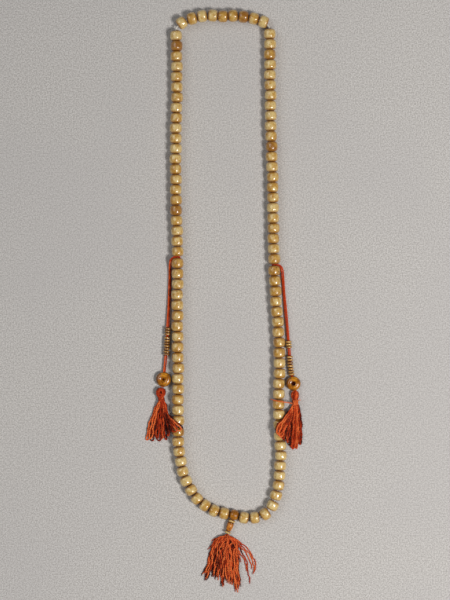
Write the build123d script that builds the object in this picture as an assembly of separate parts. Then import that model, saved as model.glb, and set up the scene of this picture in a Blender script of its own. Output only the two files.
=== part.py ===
"""Mala prayer beads: 108 bone beads on a closed thread, a guru bead with its tassel, and two counter cords.

Millimetres. The mala lies flat on z = 0 with its loop along Y and the guru tassel at the low-Y end.
"""
from build123d import *
from math import cos, pi, radians, tan
import os

os.makedirs("parts", exist_ok=True)

# ---- driving dimensions --------------------------------------------------------------------
BEAD_DIAMETER = 8.4
BEAD_LENGTH = 6.5          # the shortest; each run's beads are as long as it leaves room for
BEAD_BORE = 2.4
BEAD_GAP = 0.15            # the least space between two beads' faces
BEAD_SHOULDER = 2.0        # how far the rounded rim reaches in from the bead's face
BEAD_VARIATION = 0.12      # hand-turned beads differ by this much in length and radius
BEAD_LATERAL_PLAY = 0.22   # how far a bead sits off the thread's line
BEAD_TILT = 1.2            # degrees a bead leans off the thread's line
BEND_SPACE = 2.5           # extra space between two beads for each radian that the thread turns there

THREAD_DIAMETER = 1.0
THREAD_HEIGHT = BEAD_DIAMETER / 2
PIVOT_GAP = 0.35           # each stretch of thread stops this far before a pivot
PIVOT_SPACE = 3.85         # from a lower pivot to the next bead's centre

CORD_DIAMETER = 1.8
DISC_DIAMETER = 4.2
DISC_THICKNESS = 1.6
DISC_BORE = 2.5
DISC_HEIGHT = DISC_DIAMETER / 2 + 0.05

LEFT_RING = (2.9, 1.7)     # radius of the crest of its round section, and diameter of its hole
RIGHT_RING = (2.65, 2.8)
RING_TUBE_RADIUS = 2.35
RING_HEIGHT = 2.45
RING_CROSS_BORE = 2.5

LOOP_TUBE = 0.8            # thickness of the cord loop between two beads
LOOP_SPACE = 8.1           # pitch across the two beads that the loop lies between
LOOP_REACH = 3.3           # how far the loop's legs stand out from the thread

GURU_DIAMETER = 7.2
GURU_BORE = 2.4
PENDANT_HEIGHT = 2.6
COLLAR = (4.8, 1.7)        # diameter and thickness
TOWER = (4.8, 3.5, 6.4)    # top diameter, bottom diameter, length
FOOT = (4.5, 1.5)
PENDANT_CORD_DIAMETER = 1.2
PENDANT_CLEARANCE = 0.15

# ---- pivots and routes, hand-set along the way the mala lies ---------------------------------
TOP_LEFT = (-33.6, 188.7)
TOP_RIGHT = (31.1, 189.0)
LOWER_LEFT = (-32.0, -86.1)
LOWER_RIGHT = (37.8, -89.0)
GURU = (6.6, -147.5)
GURU_FOOT = (1.9, -160.2)  # the pendant hangs from the guru bead's middle towards this point

TOP_ROUTE = [TOP_LEFT, (-27.4, 193.7), (-20.0, 196.0), (-12.0, 197.2), (-1.0, 196.5), (10.0, 197.0),
             (20.0, 195.4), (30.3, 191.3), TOP_RIGHT]
LEFT_ROUTE = [TOP_LEFT, (-32.7, 152.0), (-33.9, 100.0), (-33.4, 62.0), (-32.1, 31.0), (-32.7, -5.0),
              (-32.0, -45.0), LOWER_LEFT]
RIGHT_ROUTE = [TOP_RIGHT, (31.4, 158.0), (32.0, 118.0), (33.5, 72.0), (33.8, 34.0), (35.2, 2.0),
               (38.2, -34.0), (37.3, -66.0), LOWER_RIGHT]
CURVE_ROUTE = [LOWER_LEFT, (-31.9, -97.0), (-30.9, -107.5), (-28.9, -117.5), (-25.4, -127.0),
               (-20.2, -135.2), (-13.0, -141.6), (-4.0, -145.7), (6.6, -147.6), (14.5, -149.7), (22.3, -149.5),
               (29.2, -146.2), (33.7, -140.4), (36.2, -132.8), (37.8, -122.5), (38.8, -111.0),
               (38.8, -100.0), LOWER_RIGHT]

# Counter cords: from the bead loop, along the strand, through the discs and the ring, to the tassel.
LEFT_CORD_ROUTE = [(-37.3, 29.9, 3.2), (-37.6, 26.6, 2.0), (-38.0, 20.0, 1.2), (-38.3, 8.5, 1.2),
                   (-38.9, -8.0, DISC_HEIGHT), (-39.65, -25.0, DISC_HEIGHT), (-40.65, -42.3, DISC_HEIGHT),
                   (-42.85, -59.3, RING_HEIGHT)]
RIGHT_CORD_ROUTE = [(39.5, 25.0, 3.2), (40.2, 21.8, 2.0), (41.1, 15.0, 1.3), (42.0, 2.5, 1.3),
                    (43.3, -16.0, DISC_HEIGHT), (44.6, -33.0, DISC_HEIGHT), (45.9, -49.0, DISC_HEIGHT),
                    (48.75, -62.0, RING_HEIGHT)]
LEFT_DISC_PLACES = [18.9, 20.8, 22.7, 25.3, 27.2, 29.1, 31.0, 32.9, 34.8, 36.7]   # -Y of each disc
RIGHT_DISC_PLACES = [28.0, 29.9, 31.8, 38.6, 40.6, 42.6, 44.6, 46.6, 48.6, 50.5]
LEFT_RING_Y = -54.0
RIGHT_RING_Y = -56.8


# ---- helpers --------------------------------------------------------------------------------
def tangent_route(points):
    """Straight runs joined by the largest arcs that they allow. Prints the radii."""
    points = [Vector(*p) for p in points]
    arcs = []
    for before, here, after in zip(points, points[1:], points[2:]):
        turn = radians((here - before).get_angle(after - here))
        shorter = min((here - before).length, (after - here).length)
        arcs.append(0.45 * shorter / tan(turn / 2))
    print("   bend radii", [round(r, 1) for r in arcs])
    return FilletPolyline(*points, radius=arcs)


def tube(path, diameter):
    profile = Plane(origin=path @ 0, z_dir=path % 0) * Circle(diameter / 2)
    solid = sweep(profile, path=path)
    print(f"   tube {path.length:.1f} mm long, volume over section times length "
          f"{solid.volume / (pi * diameter ** 2 / 4 * path.length):.4f}")
    return solid


def along(path, distance):
    """Point and direction at a distance from the path's start."""
    return path.position_at(distance, PositionMode.LENGTH), path.tangent_at(distance, PositionMode.LENGTH)


def distance_to(path, reached):
    """How far along the path a condition on the point first holds."""
    low, high = 0.0, path.length
    for _ in range(30):
        middle = (low + high) / 2
        if reached(along(path, middle)[0]):
            high = middle
        else:
            low = middle
    return low


def seat(point, direction):
    """Location at a point with local Z along a direction."""
    return Plane(origin=point, z_dir=direction).location


def spread(index, salt):
    """An even scatter between -1 and 1 that is the same in every build."""
    return (index * 0.61803 + salt * 0.41421) % 1 * 2 - 1


def write(name, solids):
    solids = solids if isinstance(solids, list) else [solids]
    shape = solids[0] if len(solids) == 1 else Compound(children=solids)
    shape.label = name
    export_step(shape, f"parts/{name}.step")


# ---- beads ----------------------------------------------------------------------------------
def barrel(radius, length, bore_radius):
    """A short barrel with a rounded rim and a plain bore, turned about Z."""
    half = length / 2
    rim = radius - BEAD_SHOULDER
    shoulder_z = half - BEAD_SHOULDER
    shoulder_r = radius - 0.12
    turn = cos(radians(45))
    arc_r = rim + (shoulder_r - rim) * turn
    arc_z = shoulder_z + BEAD_SHOULDER * turn
    outline = Wire([
        Edge.make_line((bore_radius, 0, -half), (rim, 0, -half)),
        Edge.make_three_point_arc((rim, 0, -half), (arc_r, 0, -arc_z), (shoulder_r, 0, -shoulder_z)),
        Edge.make_three_point_arc((shoulder_r, 0, -shoulder_z), (radius, 0, 0), (shoulder_r, 0, shoulder_z)),
        Edge.make_three_point_arc((shoulder_r, 0, shoulder_z), (arc_r, 0, arc_z), (rim, 0, half)),
        Edge.make_line((rim, 0, half), (bore_radius, 0, half)),
        Edge.make_line((bore_radius, 0, half), (bore_radius, 0, -half)),
    ])
    return revolve(Face(outline), Axis.Z)


def bead(path, distance, length, index):
    """One counting bead at a distance along the thread, a little off its line like a real one."""
    point, direction = along(path, distance)
    radius = BEAD_DIAMETER / 2 - BEAD_VARIATION * (1 + spread(index, 1)) / 2
    length -= BEAD_VARIATION * (1 + spread(index, 2)) / 2
    sideways = direction.cross(Vector(0, 0, 1)).normalized()
    point = Vector(point.X, point.Y, radius) + sideways * BEAD_LATERAL_PLAY * spread(index, 3)
    direction = direction.rotate(Axis.Z, BEAD_TILT * spread(index, 4))
    return seat(point, direction) * barrel(radius, length, BEAD_BORE / 2)


def bead_run(path, first, last, count, index):
    """Beads that fill the thread between two distances, further apart where it bends."""
    pitch = (last - first) / (count - 1)
    directions = [along(path, first + pitch * k)[1] for k in range(count)]
    bends = [BEND_SPACE * radians(a.get_angle(b)) for a, b in zip(directions, directions[1:])]
    straight = (last - first - sum(bends)) / (count - 1)
    length = max(BEAD_LENGTH, straight - BEAD_GAP)
    print(f"   {count} beads at a mean pitch of {pitch:.3f} mm, {length:.3f} mm long")
    places = [first + sum(bends[:k]) + straight * k for k in range(count)]
    return [bead(path, place, length, index + k) for k, place in enumerate(places)]


def write_groups(name, beads, groups, number=1):
    """Beads in string order, shared out over nodes that each hold neighbours."""
    size = -(-len(beads) // groups)
    for k in range(groups):
        write(f"{name}_{number + k}", beads[k * size:(k + 1) * size])


# ---- the main thread and its beads ----------------------------------------------------------
def thread_path(route):
    return tangent_route([(x, y, THREAD_HEIGHT) for x, y in route])


def thread(path):
    """The stretch of thread between two pivots, just short of both."""
    return tube(path.trim(PIVOT_GAP / path.length, 1 - PIVOT_GAP / path.length), THREAD_DIAMETER)


def cord_loop(point, direction, outward):
    """The counter cord's loop round the main thread and its two legs out between the beads."""
    ring_radius = THREAD_DIAMETER / 2 + 0.25 + LOOP_TUBE / 2
    ring = seat(point, direction) * Torus(ring_radius, LOOP_TUBE / 2)
    reach = LOOP_REACH - ring_radius
    start = point + outward * ring_radius
    leg = seat(start, outward) * Cylinder(LOOP_TUBE / 2, reach, align=(Align.CENTER, Align.CENTER, Align.MIN))
    tip = Pos(*(start + outward * reach)) * Sphere(LOOP_TUBE / 2)
    return ring + leg + tip


def strand(side, route, start_space, upper_count, lower_count, loop_distance, outward):
    """One long side: its thread, the beads above and below the counter loop, and the loop."""
    path = thread_path(route)
    write(f"{side}_thread", thread(path))
    upper = bead_run(path, start_space, loop_distance - LOOP_SPACE / 2, upper_count, 10)
    lower = bead_run(path, loop_distance + LOOP_SPACE / 2, path.length - PIVOT_SPACE, lower_count, 40)
    write_groups(f"{side}_beads", upper, 4)
    write_groups(f"{side}_beads", lower, 3, number=5)
    point, direction = along(path, loop_distance)
    write(f"{side}_loop", cord_loop(point, direction, outward))


def top_arch():
    path = thread_path(TOP_ROUTE)
    write("top_thread", thread(path))
    beads = bead_run(path, 5.3, path.length - 6.0, 9, 0)
    write_groups("top_beads", beads, 2)


def guru_axis():
    """Direction from the guru bead to its tassel, flat on the table."""
    return Vector(GURU_FOOT[0] - GURU[0], GURU_FOOT[1] - GURU[1], 0).normalized()


def guru_bead(direction):
    """A round bead with the thread's bore and a third hole down into the pendant."""
    ball = Sphere(GURU_DIAMETER / 2)
    through = seat(Vector(), direction) * Cylinder(GURU_BORE / 2, GURU_DIAMETER + 2)
    third = seat(Vector(), guru_axis()) * Cylinder(
        GURU_BORE / 2, GURU_DIAMETER, align=(Align.CENTER, Align.CENTER, Align.MIN))
    return Pos(GURU[0], GURU[1], GURU_DIAMETER / 2) * (ball - through - third)


def bottom_curve():
    path = thread_path(CURVE_ROUTE)
    middle = distance_to(path, lambda point: point.X > GURU[0])
    bead_to_guru = GURU_DIAMETER / 2 + BEAD_LENGTH / 2 + 0.15
    left = bead_run(path, PIVOT_SPACE, middle - bead_to_guru, 11, 60)
    right = bead_run(path, middle + bead_to_guru, path.length - PIVOT_SPACE, 11, 80)
    write_groups("bottom_beads", left, 2)
    write_groups("bottom_beads", right, 2, number=3)
    write("bottom_thread", thread(path))
    write("guru_bead", guru_bead(along(path, middle)[1]))


# ---- the guru bead's pendant ----------------------------------------------------------------
def turned(*points):
    """A solid turned about Z from (radius, z) points, in order, with straight sides."""
    return revolve(Face(Wire.make_polygon([(r, 0, z) for r, z in points], close=True)), Axis.Z)


def disc(diameter, thickness, bore, edge):
    """A round-edged disc about Z with its middle at the origin."""
    body = Cylinder(diameter / 2, thickness)
    body = fillet(body.edges(), edge)
    return body - Cylinder(bore / 2, thickness + 1)


def tower(top, bottom, length, bore):
    """A small stupa-shaped bead: rounded shoulder at the top, tapering towards the foot."""
    return turned((bore / 2, 0), (top / 2 - 0.5, 0), (top / 2, 0.7), (top / 2 - 0.05, length * 0.45),
                  (bottom / 2, length - 0.5), (bottom / 2 - 0.3, length), (bore / 2, length))


def pendant():
    axis = guru_axis()
    bore = PENDANT_CORD_DIAMETER + 0.6
    start = GURU_DIAMETER / 2 + PENDANT_CLEARANCE
    middle = Vector(GURU[0], GURU[1], PENDANT_HEIGHT)

    def place(distance):
        return seat(middle + axis * distance, axis)

    write("collar_disc", place(start + COLLAR[1] / 2) * disc(*COLLAR, bore, 0.6))
    tower_start = start + COLLAR[1] + PENDANT_CLEARANCE
    write("tower_bead", place(tower_start) * tower(*TOWER, bore))
    foot_start = tower_start + TOWER[2] + PENDANT_CLEARANCE
    write("foot_ring", place(foot_start + FOOT[1] / 2) * disc(*FOOT, bore, 0.6))
    end = foot_start + FOOT[1]
    cord = Cylinder(PENDANT_CORD_DIAMETER / 2, end - start, align=(Align.CENTER, Align.CENTER, Align.MIN))
    write("pendant_cord", place(start) * cord)
    hinge = middle + axis * (end + PENDANT_CLEARANCE)
    print(f"   pendant hinge {middle + axis * (GURU_DIAMETER / 2)}, tassel hinge {hinge}")


# ---- tassels --------------------------------------------------------------------------------
def yarn_bundle(outline, low, high):
    """A lying bundle of yarns, as a plain prism between two heights."""
    base = Face(Wire.make_polygon([(x, y, low) for x, y in outline], close=True))
    return extrude(base, high - low, dir=(0, 0, 1))


def tassel_knot(start, end, widths, heights):
    """The knotted head of a tassel: oval, wide at the ring and narrower at its tie."""
    start, end = Vector(*start), Vector(*end)
    axis = (end - start).normalized()
    across = axis.cross(Vector(0, 0, 1))
    top = Plane(origin=start, x_dir=across, z_dir=axis) * Ellipse(widths[0] / 2, heights[0] / 2)
    bottom = Plane(origin=end, x_dir=across, z_dir=axis) * Ellipse(widths[1] / 2, heights[1] / 2)
    return loft([top.face(), bottom.face()])


def guru_tassel():
    left = yarn_bundle([(-0.6, -163.1), (-5.6, -166.0), (-10.8, -179.4), (-15.6, -190.8), (-12.5, -195.0),
                        (-4.2, -196.5)], 0.2, 5.2)
    middle = yarn_bundle([(-0.2, -163.1), (-3.8, -196.5), (-2.0, -198.6), (6.3, -201.5), (11.1, -199.7),
                          (9.3, -181.0), (4.8, -164.0)], 0.2, 5.8)
    right = yarn_bundle([(5.3, -164.4), (9.9, -180.0), (17.5, -195.5), (19.9, -188.6), (21.6, -179.8),
                         (9.0, -165.6)], 0.2, 4.2)
    write("guru_tassel", [left, middle, right])


def counter_tassels():
    write("left_tassel_knot", tassel_knot((-42.9, -59.75, 2.45), (-43.4, -67.6, 2.45), (6.0, 4.8), (4.6, 4.2)))
    outer = yarn_bundle([(-45.7, -67.9), (-50.2, -77.0), (-52.3, -85.0), (-54.0, -93.5), (-49.3, -97.0),
                         (-45.6, -95.5), (-43.3, -67.9)], 0.2, 4.8)
    inner = yarn_bundle([(-43.1, -67.9), (-45.4, -95.5), (-38.0, -95.7), (-37.3, -88.0), (-37.8, -77.0),
                         (-41.2, -67.9)], 0.2, 4.8)
    rise = yarn_bundle([(-41.0, -78.5), (-41.6, -88.5), (-37.5, -90.0), (-37.5, -80.0)], 4.9, 10.1)
    over = yarn_bundle([(-37.4, -80.1), (-37.4, -90.0), (-29.5, -90.9), (-27.6, -88.0), (-33.8, -81.2)],
                       BEAD_DIAMETER + 0.35, 10.1)
    write("left_tassel", [outer, inner, rise, over])

    write("right_tassel_knot", tassel_knot((48.9, -62.5, 2.45), (49.2, -71.2, 2.45), (5.6, 4.2), (4.6, 4.0)))
    outer = yarn_bundle([(51.2, -71.5), (53.4, -80.0), (54.2, -90.0), (53.0, -97.0), (49.8, -101.9),
                         (46.9, -98.5), (49.3, -71.5)], 0.2, 4.8)
    inner = yarn_bundle([(49.1, -71.5), (46.7, -98.4), (43.2, -95.0), (43.2, -79.0), (46.9, -71.5)], 0.2, 4.8)
    rise = yarn_bundle([(47.0, -76.0), (46.6, -95.0), (43.3, -96.0), (43.3, -78.0)], 4.9, 10.2)
    over = yarn_bundle([(43.2, -78.1), (43.2, -96.0), (39.8, -95.8), (36.8, -92.0), (35.6, -86.5),
                        (36.4, -82.5), (39.2, -79.0)], BEAD_DIAMETER + 0.35, 10.2)
    write("right_tassel", [outer, inner, rise, over])


# ---- counter cords, discs and rings ---------------------------------------------------------
def ring_bead(place, direction, crest_radius, hole):
    """A donut-shaped bead lying flat, drilled through its hole and across for the cord."""
    body = Torus(crest_radius, RING_TUBE_RADIUS) + Cylinder(crest_radius, RING_TUBE_RADIUS * 0.5)
    body -= Cylinder(hole / 2, RING_TUBE_RADIUS * 3)
    cross = seat(place, direction) * Cylinder(RING_CROSS_BORE / 2, 20)
    return Pos(place.X, place.Y, RING_HEIGHT) * body - cross


def counter_string(side, route, places, ring_y, ring_sizes):
    path = tangent_route(route)
    write(f"{side}_counter_cord", tube(path, CORD_DIAMETER))
    for number, y in enumerate(places, 1):
        point, direction = along(path, distance_to(path, lambda reached: reached.Y < -y))
        counter = disc(DISC_DIAMETER, DISC_THICKNESS, DISC_BORE, 0.5)
        write(f"{side}_counter_{number:02d}", seat(Vector(point.X, point.Y, DISC_HEIGHT), direction) * counter)
    point, direction = along(path, distance_to(path, lambda reached: reached.Y < ring_y))
    print(f"   {side} ring at {point}")
    write(f"{side}_ring_bead", ring_bead(point, direction, *ring_sizes))


top_arch()
strand("left", LEFT_ROUTE, 5.6, 22, 16, 158.4, Vector(-1, 0, 0))
strand("right", RIGHT_ROUTE, 4.7, 23, 16, 163.9, Vector(1, 0, 0))
bottom_curve()
pendant()
guru_tassel()
counter_tassels()
counter_string("left", LEFT_CORD_ROUTE, LEFT_DISC_PLACES, LEFT_RING_Y, LEFT_RING)
counter_string("right", RIGHT_CORD_ROUTE, RIGHT_DISC_PLACES, RIGHT_RING_Y, RIGHT_RING)
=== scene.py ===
"""Mala prayer beads: the looks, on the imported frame.

Shapes are worked out in millimetres in the row frame, and become metres when a mesh is made.
"""
import math

import bpy
import numpy as np
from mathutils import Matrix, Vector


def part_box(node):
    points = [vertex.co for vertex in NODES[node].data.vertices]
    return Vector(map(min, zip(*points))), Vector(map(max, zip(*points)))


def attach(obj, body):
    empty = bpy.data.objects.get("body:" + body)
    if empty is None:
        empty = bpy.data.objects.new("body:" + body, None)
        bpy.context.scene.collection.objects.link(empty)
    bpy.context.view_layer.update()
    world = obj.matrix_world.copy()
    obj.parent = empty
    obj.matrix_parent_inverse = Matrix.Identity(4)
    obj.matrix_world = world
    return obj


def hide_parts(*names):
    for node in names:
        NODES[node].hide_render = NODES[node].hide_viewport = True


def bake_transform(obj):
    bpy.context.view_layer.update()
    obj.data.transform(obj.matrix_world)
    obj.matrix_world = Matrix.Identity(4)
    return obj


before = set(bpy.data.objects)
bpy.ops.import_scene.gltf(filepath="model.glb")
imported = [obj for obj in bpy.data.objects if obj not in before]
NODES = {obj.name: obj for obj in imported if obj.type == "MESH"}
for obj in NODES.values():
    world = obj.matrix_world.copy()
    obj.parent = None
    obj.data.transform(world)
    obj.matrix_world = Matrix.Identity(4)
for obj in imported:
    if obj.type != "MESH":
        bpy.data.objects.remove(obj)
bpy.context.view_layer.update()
MM = 0.001
TURN = 2 * math.pi


def added(name, data):
    """A new object of the scene."""
    made = bpy.data.objects.new(name, data)
    bpy.context.scene.collection.objects.link(made)
    return made


# ---- studio
CAMERA_AT, LENS = (0.00035, 0.00086, 1.154), 100   # straight above
LAMP_DISTANCE = 1.5
LAMPS = (   # kind, tilt, turn, its extent's name and value, energy, tint
    ("AREA", 33, -30, "size", 0.34, 17.1, (1.0, 0.985, 0.96)),
    ("SUN", 38, 155, "angle", 0.70, 0.71, (0.96, 0.98, 1.0)),
)
SKY, HORIZON_GLOW, UPPER_GLOW, UPPER_FROM = (0.90, 0.95, 1.0, 1), 0.34, 0.09, 0.35
SHEET_REACH = 9


def studio():
    """The camera, a key lamp, an even fill light, and a sky that is brighter at its horizon."""
    camera = added("camera", bpy.data.cameras.new("camera"))
    camera.data.lens = LENS
    camera.location = CAMERA_AT
    bpy.context.scene.camera = camera

    for kind, tilt, turn, extent, size, energy, tint in LAMPS:
        tilt, turn = math.radians(tilt), math.radians(turn)
        lamp = added(kind.lower(), bpy.data.lights.new(kind.lower(), kind))
        setattr(lamp.data, extent, size)
        lamp.data.energy, lamp.data.color = energy, tint
        lamp.location = (LAMP_DISTANCE * math.sin(tilt) * math.cos(turn),
                         LAMP_DISTANCE * math.sin(tilt) * math.sin(turn), LAMP_DISTANCE * math.cos(tilt))
        lamp.rotation_euler = (0, tilt, turn)

    world = bpy.data.worlds.new("world")
    world.use_nodes = True
    nodes, links = world.node_tree.nodes, world.node_tree.links
    nodes["Background"].inputs["Color"].default_value = SKY
    towards, parts, glow = (nodes.new("ShaderNode" + kind)
                            for kind in ("TexCoord", "SeparateXYZ", "MapRange"))
    glow.interpolation_type = "SMOOTHSTEP"
    for socket, value in (("From Min", 0.0), ("From Max", UPPER_FROM), ("To Min", HORIZON_GLOW),
                          ("To Max", UPPER_GLOW)):
        glow.inputs[socket].default_value = value
    links.new(towards.outputs["Generated"], parts.inputs[0])
    links.new(parts.outputs["Z"], glow.inputs["Value"])
    links.new(glow.outputs["Result"], nodes["Background"].inputs["Strength"])
    bpy.context.scene.world = world
    bpy.context.scene.view_settings.view_transform = "Standard"


def backing_sheet():
    """The paper that the mala lies on, far wider than any view of it."""
    mesh, reach = bpy.data.meshes.new("floor"), SHEET_REACH
    corners = [(-reach, -reach, 0), (reach, -reach, 0), (reach, reach, 0), (-reach, reach, 0)]
    mesh.from_pydata(corners, [], [(0, 1, 2, 3)])
    mesh.materials.append(paper())
    added("floor", mesh)


# ---- materials
def colour(red, green, blue):
    """A colour given as it looks on a screen, 0 to 255, as linear light."""
    return tuple((c / 255) ** 2.2 for c in (red, green, blue)) + (1.0,)


class Shader:
    """A principled material, with short ways to add its nodes."""

    def __init__(self, name, **constants):
        self.material = bpy.data.materials.new(name)
        self.material.use_nodes = True
        self.tree = self.material.node_tree
        self.surface = self.tree.nodes["Principled BSDF"]
        for socket, value in constants.items():
            self.surface.inputs[socket.replace("_", " ")].default_value = value

    def node(self, kind, inputs, **settings):
        made = self.tree.nodes.new("ShaderNode" + kind)
        for key, value in settings.items():
            setattr(made, key, value)
        for socket, value in inputs.items():
            if isinstance(value, bpy.types.NodeSocket):
                self.tree.links.new(value, made.inputs[socket])
            else:
                made.inputs[socket].default_value = value
        return made

    def attribute(self, name, output="Fac"):
        return self.node("Attribute", {}, attribute_name=name).outputs[output]

    def noise(self, vector, scale, detail=3.0, roughness=0.5):
        return self.node("TexNoise", {"Vector": vector, "Scale": scale, "Detail": detail,
                                      "Roughness": roughness}).outputs["Fac"]

    def ramp(self, value, low, high, start=0.0, end=1.0):
        return self.node("MapRange", {"Value": value, "From Min": low, "From Max": high, "To Min": start,
                                      "To Max": end}, interpolation_type="SMOOTHSTEP").outputs["Result"]

    def worked(self, operation, *values):
        return self.node("Math", dict(enumerate(values)), operation=operation).outputs[0]

    def times(self, a, b):
        return self.worked("MULTIPLY", a, b)

    def plus(self, a, b):
        return self.worked("ADD", a, b)

    def mix(self, share, a, b):
        return self.node("Mix", {0: share, 6: a, 7: b}, data_type="RGBA").outputs[2]

    def scaled(self, vector, x, y, z):
        return self.node("Mapping", {"Vector": vector, "Scale": (x, y, z)}).outputs["Vector"]

    def finish(self, base, roughness, height, depth):
        """Links the colour, roughness and bump; depth is the bump's height in metres."""
        bump = self.node("Bump", {"Height": height, "Distance": depth, "Strength": 1.0})
        self.tree.links.new(base, self.surface.inputs["Base Color"])
        self.tree.links.new(roughness, self.surface.inputs["Roughness"])
        self.tree.links.new(bump.outputs["Normal"], self.surface.inputs["Normal"])
        return self.material


def bone(name, tones, coat, end_stain_and_gap_shade=(0.52, 1.0)):
    """Turned bone: fine grain along the bore, dark specks, cracks and pores, and darker end faces: a stain on
    the beads, painted shade in the gaps between the thin discs.
    """
    pale, middle, deep, rim = (colour(*tone) for tone in tones)
    s = Shader(name, Coat_Weight=coat, Coat_Roughness=0.11, Specular_IOR_Level=0.5)
    grain, tone, face = s.attribute("grain", "Vector"), s.attribute("tone"), s.attribute("face")
    patch = s.noise(grain, 0.30, 2.0)
    depth = s.plus(tone, s.ramp(patch, 0.30, 0.72, -0.26, 0.30))
    base = s.mix(s.ramp(depth, 0.0, 0.5), pale, middle)
    base = s.mix(s.ramp(depth, 0.45, 1.0), base, deep)
    streak = s.noise(s.scaled(grain, 2.2, 2.2, 0.8), 1.0, 4.0, 0.62)
    base = s.mix(s.ramp(streak, 0.50, 0.68, 0.0, 0.75), base, deep)
    base = s.mix(s.ramp(streak, 0.46, 0.32, 0.0, 0.55), base, pale)
    fleck = s.noise(s.scaled(grain, 4.2, 4.2, 1.6), 1.0, 2.0)
    specks = s.ramp(fleck, 0.62, 0.72)
    base = s.mix(s.times(specks, 0.7), base, rim)
    crack = s.noise(s.scaled(grain, 1.2, 1.2, 0.35), 1.0, 5.0, 0.65)
    off = s.worked("ABSOLUTE", s.plus(crack, -0.5))
    line = s.times(s.ramp(off, 0.0, 0.020, 1.0, 0.0), s.ramp(depth, 0.1, 0.9, 0.3, 1.0))
    base = s.mix(s.times(line, 0.8), base, rim)
    cells = s.node("TexVoronoi", {"Vector": s.scaled(grain, 0.62, 0.62, 0.5), "Scale": 1.0})
    pore = s.times(s.ramp(cells.outputs["Distance"], 0.12, 0.26, 1.0, 0.0), s.attribute("pores"))
    base = s.mix(pore, base, colour(52, 30, 14))
    # darker towards the end faces: a stain on the beads; on the discs, with their near-black end colour,
    # painted shade in the gaps between them
    base = s.mix(s.ramp(face, *end_stain_and_gap_shade, 0.0, 0.85), base, rim)
    rough = s.plus(s.ramp(streak, 0.3, 0.8, 0.22, 0.42), s.times(specks, 0.15))
    height = s.plus(s.times(streak, 0.6), s.plus(s.times(fleck, -0.35), s.times(pore, -1.6)))
    return s.finish(base, rough, height, 0.00016)


def amber(name, centre, hole):
    """Polished golden-brown resin, clouded in rings about its hole, whose radius is given in metres; painted
    shade darkens it in and round the hole and at its outer edge.
    """
    s = Shader(name, Coat_Weight=0.4, Coat_Roughness=0.05)
    place = s.node("VectorMath", {0: s.node("TexCoord", {}).outputs["Object"], 1: centre},
                   operation="SUBTRACT").outputs["Vector"]
    out = s.node("VectorMath", {0: place}, operation="LENGTH").outputs["Value"]
    cloud = s.noise(place, 230, 3.0, 0.6)
    band = s.worked("SINE", s.plus(s.times(out, 3600.0), s.times(cloud, 9.0)))
    base = s.mix(s.ramp(cloud, 0.36, 0.66), colour(146, 84, 12), colour(224, 148, 40))
    base = s.mix(s.ramp(band, 0.1, 0.9, 0.0, 0.55), base, colour(92, 48, 10))
    # painted shade in and round the hole
    base = s.mix(s.ramp(out, hole * 0.8, hole * 1.5, 0.9, 0.0), base, colour(40, 20, 8))
    # painted shade where the ring turns down at its outer edge
    base = s.mix(s.ramp(out, 0.0042, 0.0053, 0.0, 0.7), base, colour(78, 44, 14))
    return s.finish(base, s.ramp(band, -0.8, 0.8, 0.16, 0.28), cloud, 0.00005)


def cotton(name, tones, sheen):
    """Spun cotton: fibres along each ply, and a tone for each yarn, darkened along some yarns with painted
    shade.
    """
    dark, middle, light = (colour(*tone) for tone in tones)
    s = Shader(name, Sheen_Weight=sheen, Sheen_Roughness=0.45, Specular_IOR_Level=0.25)
    fibre, tone = s.attribute("fibre", "Vector"), s.attribute("tone")
    fine = s.noise(s.scaled(fibre, 3.4, 3.4, 0.55), 1.0, 4.0, 0.65)
    slub = s.noise(s.scaled(fibre, 0.4, 0.4, 0.35), 1.0, 2.0)
    depth = s.plus(tone, s.ramp(slub, 0.3, 0.7, -0.16, 0.16))
    base = s.mix(s.ramp(depth, 0.0, 0.5), dark, middle)
    base = s.mix(s.ramp(depth, 0.5, 1.0), base, light)
    base = s.mix(s.ramp(fine, 0.42, 0.30, 0.0, 0.55), base, dark)
    base = s.mix(s.ramp(fine, 0.58, 0.72, 0.0, 0.35), base, light)
    return s.finish(base, s.ramp(fine, 0.3, 0.7, 0.82, 0.95), fine, 0.00012)


def paper():
    """The backing sheet's pale grey, with its fine speckle."""
    s = Shader("backing_sheet", Specular_IOR_Level=0.2)
    place = s.node("TexCoord", {}).outputs["Object"]
    speckle = s.plus(s.noise(place, 1050, 2.0), s.times(s.noise(place, 2300, 1.0), 0.8))
    cloud = s.noise(place, 9, 2.0)
    base = s.mix(s.ramp(speckle, 0.66, 1.12), colour(170, 165, 161), colour(214, 210, 206))
    base = s.mix(s.ramp(cloud, 0.35, 0.65, 0.0, 0.25), base, colour(186, 182, 182))
    return s.finish(base, s.ramp(speckle, 0.5, 1.3, 0.8, 0.9), speckle, 0.00020)


# ---- meshes
TABLE_GAP = 0.02   # no point of a mesh is lower than this


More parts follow.
